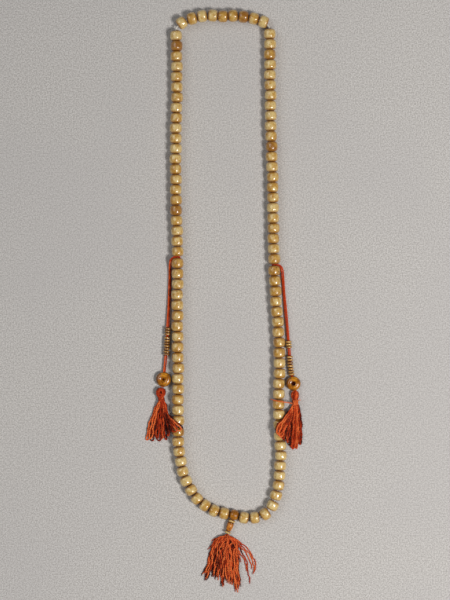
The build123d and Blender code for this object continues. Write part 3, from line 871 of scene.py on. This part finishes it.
LEFT_EDGES = (
    [(-45.0, -68.6), (-46.9, -71.6), (-49.2, -76.0), (-51.7, -82.5), (-53.5, -89.0), (-55.0, -96.0)],
    [(-41.8, -68.6), (-40.2, -71.6), (-38.9, -76.0), (-38.2, -82.5), (-37.8, -89.0), (-37.6, -96.8)],
)
LEFT_LOOPS = [(0.03, 0.13, 0.97), (0.22, 0.33, 1.0), (0.42, 0.52, 0.95), (0.61, 0.70, 0.93),
              (0.78, 0.87, 0.97), (0.95, 0.91, 0.90), (0.14, 0.26, 0.95), (0.50, 0.64, 0.98)]
LEFT_LOBE = [
    [(-42.4, -68.8), (-40.6, -74.0), (-38.4, -78.4), (-34.8, -81.6), (-31.2, -84.0), (-29.2, -86.4),
     (-29.6, -88.0), (-31.6, -86.2), (-35.0, -83.2), (-38.8, -79.8), (-41.0, -75.0), (-42.8, -68.8)],
    [(-42.2, -68.8), (-40.2, -74.8), (-38.0, -79.8), (-34.6, -83.0), (-31.0, -85.4), (-29.0, -87.8),
     (-30.4, -89.0), (-32.4, -88.2), (-35.6, -85.4), (-38.8, -81.6), (-41.2, -75.6), (-43.0, -68.8)],
    [(-42.4, -68.8), (-40.8, -76.0), (-39.0, -82.0), (-37.0, -86.8), (-35.2, -89.6), (-33.4, -89.4),
     (-32.2, -87.2), (-35.0, -83.8), (-38.4, -80.2), (-41.0, -74.6), (-42.9, -68.8)],
    [(-42.5, -68.8), (-41.2, -76.4), (-39.8, -82.6), (-38.2, -87.4), (-36.4, -89.8), (-35.4, -88.2),
     (-37.0, -84.4), (-39.6, -79.6), (-41.8, -74.6), (-43.0, -68.8)],
]
RIGHT_EDGES = (
    [(47.2, -71.4), (46.2, -75.4), (45.0, -80.6), (43.8, -86.8), (43.0, -93.0), (42.2, -100.0)],
    [(50.9, -71.4), (52.2, -75.0), (53.2, -80.4), (53.9, -87.4), (53.7, -95.6), (52.6, -104.0)],
)
RIGHT_LOOPS = [(0.02, 0.12, 0.90), (0.22, 0.32, 0.95), (0.44, 0.54, 0.99), (0.64, 0.74, 0.96),
               (0.84, 0.93, 0.89), (0.36, 0.60, 0.96)]
RIGHT_LOBE = (
    [(47.2, -71.4), (45.8, -74.0), (44.0, -76.8), (41.4, -79.6), (38.0, -82.2), (35.9, -85.4),
     (35.3, -89.0), (36.6, -92.0), (39.0, -90.6), (41.2, -86.0), (43.4, -80.6), (45.8, -75.4),
     (47.6, -71.4)],
    [(47.6, -71.4), (46.4, -76.6), (44.4, -82.4), (42.4, -88.0), (41.0, -93.0), (41.2, -96.4),
     (42.8, -96.2), (43.8, -90.6), (45.4, -84.0), (47.0, -77.6), (48.2, -71.4)],
)

NECKS = {"left": (-43.35, -68.2, 2.5), "right": (49.0, -70.8, 2.5)}
COUNTER_BASE, COUNTER_SETTLE = 6, 6.0
BEAD_ROOM, BESIDE_TASSEL = 4.5, -55   # the radius kept free round the beads that lie below this y


def counter_tassel(side, edges, loops, lobe, middle_tone, beads, material, seed):
    """Looped yarns from the tie: a layer below, dark with painted shade, a lobe over the beads beside it, and
    loops over both.
    """
    chance = np.random.default_rng(seed)
    neck = np.array(NECKS[side])
    rows = [(a, b, BEAD_ROOM) for a, b in zip(beads, beads[1:]) if a[1] < BESIDE_TASSEL]
    heap = Heap((neck[0] - 20, neck[1] - 40), (neck[0] + 22, neck[1] + 6), COUNTER_SETTLE, rows)
    # the base layer's low tones are painted shade under the loops
    ways = [(looped(edges, (k + 0.2) / COUNTER_BASE, (k + 0.8) / COUNTER_BASE, chance.uniform(0.84, 0.92)),
             chance.uniform(0.05, 0.3)) for k in range(COUNTER_BASE)]
    share = np.linspace(0, 1, 2 * YARN_POINTS)
    ways += [(between(way, share), (0.35, 1.0, 0.65)[k % 3]) for k, way in enumerate(lobe)]
    ways += [(looped(edges, *loop), (0.9, 0.3, middle_tone)[k % 3]) for k, loop in enumerate(loops)]
    lines = [heap.lay(waved(way, chance, 0.12), 0.5, 1.3 + 2.4 * number / len(ways), 2)
             for number, (way, _) in enumerate(ways)]
    pile = Pile()
    for line, (_, tone) in zip(lines, ways):
        ends = [neck + (line[k] - neck) * [0.7, 0.2, 0.7] for k in (0, -1)]
        line = spaced(np.vstack([ends[0], line, ends[1]]), YARN_STEP)
        yarn(pile, line, chance, shaded(tone, heap.sunk(line), 0.28))
    pile.piece(f"{side}_tassel_yarns", material, f"{side}_tassel_body", "tassel_yarn", f"{side}_tassel")


def wrap(pile, middle, axis, radii, turns, thick, tone, seed):
    """A thread wound round a neck, its turns side by side."""
    axis = unit(np.array(axis, float))
    across = unit(np.cross(axis, [0, 0, 1.0]))
    over = np.cross(axis, across)
    angle = np.linspace(0, TURN * turns, int(turns * 26))
    rise = (angle / TURN - turns / 2) * thick * 0.98
    line = (np.array(middle) + radii[0] * np.cos(angle)[:, None] * across
            + radii[1] * np.sin(angle)[:, None] * over + rise[:, None] * axis)
    for k, ply in enumerate(twisted(line, 2, thick * 0.24, 2.2)):
        tube(pile, ply, thick * 0.29, 6, tone, seed + k)


HEAD_YARNS = 18


def left_head(material):
    """Yarns that rise from the tie, pass round the cord's end and come back, close about a small hollow."""
    chance = np.random.default_rng(5)
    pile = Pile()
    for k in range(HEAD_YARNS):
        wide = 1.15 + 1.65 * ((k * 7) % HEAD_YARNS) / (HEAD_YARNS - 1)
        high = 1.0 + 3.3 * (k + 0.5) / HEAD_YARNS
        low = 2.4 + (high - 2.4) * 0.7
        top = -59.8 - (2.8 - wide) * 0.9 + chance.uniform(-0.2, 0.2)
        x = -43.9 + chance.uniform(-0.25, 0.25)
        route = [(-43.6 - chance.uniform(0.2, 1.4), -69.0, low), (x - wide * 0.5, -66.6, high),
                 (x - wide, -63.6, high), (x - wide * 0.9, top - 0.9, high), (x, top, high + 0.1),
                 (x + wide * 0.9, top - 0.9, high), (x + wide, -63.6, high), (x + wide * 0.5, -66.6, high),
                 (-43.1 + chance.uniform(0.2, 1.4), -69.0, low)]
        route = route + chance.uniform(-0.45, 0.45, (9, 3)) * [1, 1, 0.5]
        # the lower yarns of the head get darker tones: painted shade
        yarn(pile, curved(route), chance, chance.uniform(0.0, 0.75) * (0.3 + k / 34))
    for x, y, to_x, to_y in ((-45.9, -61.4, -41.9, -67.6), (-41.6, -61.6, -45.2, -67.8),
                             (-46.3, -64.0, -42.8, -68.4), (-41.2, -64.2, -44.2, -68.4)):
        route = [(x, y, 3.4), ((x + to_x) / 2, (y + to_y) / 2 - 0.3, 5.0), (to_x, to_y, 3.6)]
        yarn(pile, curved(route), chance, chance.uniform(0.3, 0.8))
    pile.piece("left_tassel_head", material, "left_tassel_body", "tassel_yarn", "left_tassel_knot")
    pile = Pile()
    wrap(pile, (-43.3, -67.5, 2.5), (-0.06, -1, 0), (1.75, 1.75), 2.6, 0.75, 0.3, 2)
    pile.piece("left_tassel_tie", material, "left_tassel_body", "tassel_yarn")


def right_head(material):
    """A round head of yarns over the cord's end, a tie below it, and the tie's knot."""
    chance = np.random.default_rng(15)
    pile = Pile()
    for k in range(HEAD_YARNS):
        angle = TURN * (k + chance.uniform(-0.25, 0.25)) / HEAD_YARNS + np.linspace(0, 1.1, 7)
        x, z = np.cos(angle) * chance.uniform(0.86, 1.04), np.sin(angle) * chance.uniform(0.9, 1.0)
        reach = np.array([0.7, 1.8, 2.45, 2.2, 1.3, 1.5, 1.6])
        rise = np.array([0.7, 1.3, 1.8, 1.8, 1.4, 1.5, 1.5])
        route = np.column_stack([np.array([48.75, 48.7, 48.65, 48.7, 48.9, 49.0, 49.1]) + reach * x,
                                 [-62.1, -62.6, -64.2, -66.2, -68.2, -70.2, -71.9], 2.4 + rise * z])
        yarn(pile, curved(route), chance, chance.uniform(0.15, 0.75))
    pile.piece("right_tassel_head", material, "right_tassel_body", "tassel_yarn", "right_tassel_knot")
    pile = Pile()
    wrap(pile, (48.95, -69.6, 2.45), (0.08, -1, 0), (1.85, 1.85), 3.2, 0.75, 0.35, 2)
    wrap(pile, (48.9, -69.9, 4.6), (1, 0.1, 0.1), (1.5, 1.0), 3.0, 1.05, 0.9, 4)
    end = [(50.0, -69.4, 5.0), (50.9, -68.3, 4.9), (51.9, -67.8, 4.4), (52.4, -68.6, 4.0)]
    yarn(pile, spaced(smooth_line(end), 0.4), chance, 0.9, 0.75, frayed=True)
    pile.piece("right_tassel_tie", material, "right_tassel_body", "tassel_yarn")
    stray = [(46.8, -70.6, 3.6), (45.0, -70.1, 4.8), (42.6, -69.6, 7.4), (40.2, -69.2, 8.9),
             (37.4, -68.7, 9.1), (34.8, -68.2, 8.4), (33.0, -67.7, 6.7), (31.7, -67.5, 5.6)]
    pile = Pile()
    yarn(pile, curved(stray), chance, 0.8, 0.8, frayed=True)
    pile.piece("right_stray_yarn", material, "right_tassel_body", "tassel_yarn")


# ---- the whole
studio()

orange_cord = cotton("cord_cotton", [(70, 14, 4), (196, 64, 19), (238, 106, 44)], 0.06)
cords = {side: counter_cord(side, orange_cord) for side in ("left", "right")}

backing_sheet()

bead_bone = bone("bead_bone", [(226, 197, 130), (198, 150, 66), (150, 96, 26), (146, 88, 20)], 0.9)
# the discs' near-black end colour and wide end ramp are painted shade in the gaps between the discs
disc_bone = bone("disc_bone", [(226, 178, 100), (194, 138, 60), (134, 84, 30), (34, 16, 6)], 0.8,
                 end_stain_and_gap_shade=(0.45, 0.95))
tower_bone = bone("tower_bone", [(240, 166, 58), (212, 128, 32), (148, 80, 16), (90, 46, 12)], 0.25)
guru_bone = bone("guru_bone", [(200, 130, 36), (160, 98, 22), (104, 58, 12), (62, 32, 8)], 0.25)
centres = counting_beads(bead_bone)

white_cotton = cotton("thread_cotton", [(150, 142, 128), (214, 208, 196), (240, 238, 232)], 0.2)
bottom_line = main_thread(white_cotton)

for side, (piece, line) in cords.items():
    discs = [counter_disc(side, number, disc_bone) for number in range(1, DISCS + 1)]
    ring = NODES[f"{side}_ring_bead"]
    low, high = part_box(f"{side}_ring_bead")
    ring.data.materials.clear()
    ring.data.materials.append(amber(f"{side}_amber", (low + high) / 2, RING_HOLES[side]))
    cord_loop(side, orange_cord)

guru_bead(guru_bone, bottom_line)
pendant({"collar_disc": bead_bone, "foot_ring": bead_bone, "tower_bead": tower_bone})

tassel_cotton = cotton("tassel_cotton", [(46, 8, 3), (184, 56, 16), (240, 120, 62)], 0.05)
pendant_cord(tassel_cotton)
guru_tassel(tassel_cotton)
left_head(tassel_cotton)
right_head(tassel_cotton)
counter_tassel("left", LEFT_EDGES, LEFT_LOOPS, LEFT_LOBE, 0.6, centres["left"], tassel_cotton, 7)
outer, inner = (between(way, np.linspace(0, 1, 40)) for way in RIGHT_LOBE)
right_lobe = [outer + (inner - outer) * share for share in (0.0, 0.5, 0.2, 0.85, 0.1, 0.65, 1.0, 0.35)]
counter_tassel("right", RIGHT_EDGES, RIGHT_LOOPS, right_lobe, 0.65, centres["right"], tassel_cotton, 9)
